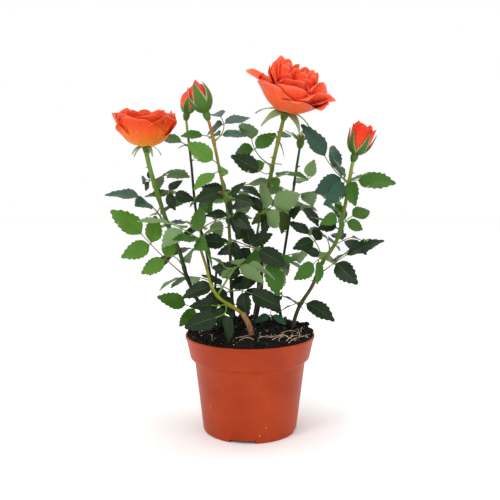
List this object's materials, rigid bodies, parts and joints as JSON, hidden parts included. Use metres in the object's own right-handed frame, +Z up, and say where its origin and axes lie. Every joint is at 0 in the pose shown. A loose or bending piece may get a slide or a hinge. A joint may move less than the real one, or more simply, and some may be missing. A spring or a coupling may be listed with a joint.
{
  "type": "potted rose bush",
  "caption": "Miniature shrub rose in a round nursery pot: slender upright canes with shoots of divided leaves, open coral blooms and pointed buds over a mound of dark soil.",
  "frame": {"origin": "centre of the flat underside of the pot", "axes": "+Z up, -Y toward the front side that the picture shows, +X to the right of that side"},
  "size_m": [0.2598, 0.187, 0.3376],
  "materials": {
    "pot": "satin",
    "soil": "matte",
    "canes": "satin",
    "stump": "matte",
    "petals": "satin",
    "leaves": "satin"
  },
  "bodies": {
    "root": {"bloom_left": "petals", "bloom_right": "petals", "bud_centre": "petals", "bud_left": "petals", "bud_right": "petals", "cane_back": "canes", "cane_bloom": "canes", "cane_bud_centre": "canes", "cane_bud_left": "canes", "cane_front": "canes", "cane_left": "canes", "cane_right": "canes", "cane_spent": "canes", "leaves_back_1": "leaves", "leaves_back_2": "leaves", "leaves_bloom_1": "leaves", "leaves_bloom_2": "leaves", "leaves_bloom_3": "leaves", "leaves_bloom_4": "leaves", "leaves_bloom_5": "leaves", "leaves_bloom_6": "leaves", "leaves_bud_centre_1": "leaves", "leaves_bud_centre_2": "leaves", "leaves_bud_centre_3": "leaves", "leaves_bud_centre_4": "leaves", "leaves_bud_centre_5": "leaves", "leaves_bud_centre_6": "leaves", "leaves_bud_centre_7": "leaves", "leaves_bud_centre_8": "leaves", "leaves_bud_left_1": "leaves", "leaves_bud_left_2": "leaves", "leaves_bud_left_3": "leaves", "leaves_bud_left_4": "leaves", "leaves_front_1": "leaves", "leaves_front_2": "leaves", "leaves_front_3": "leaves", "leaves_left_1": "leaves", "leaves_left_2": "leaves", "leaves_left_3": "leaves", "leaves_left_4": "leaves", "leaves_left_5": "leaves", "leaves_left_6": "leaves", "leaves_right_1": "leaves", "leaves_right_2": "leaves", "leaves_right_3": "leaves", "leaves_right_4": "leaves", "leaves_right_5": "leaves", "leaves_right_6": "leaves", "leaves_right_7": "leaves", "leaves_right_8": "leaves", "leaves_spent_1": "leaves", "leaves_spent_2": "leaves", "leaves_spent_3": "leaves", "leaves_spent_4": "leaves", "leaves_spent_5": "leaves", "pot": "pot", "potting_soil": "soil", "spent_bloom": "petals", "stub_dark": "canes", "stump": "stump"}
  },
  "joints": []
}
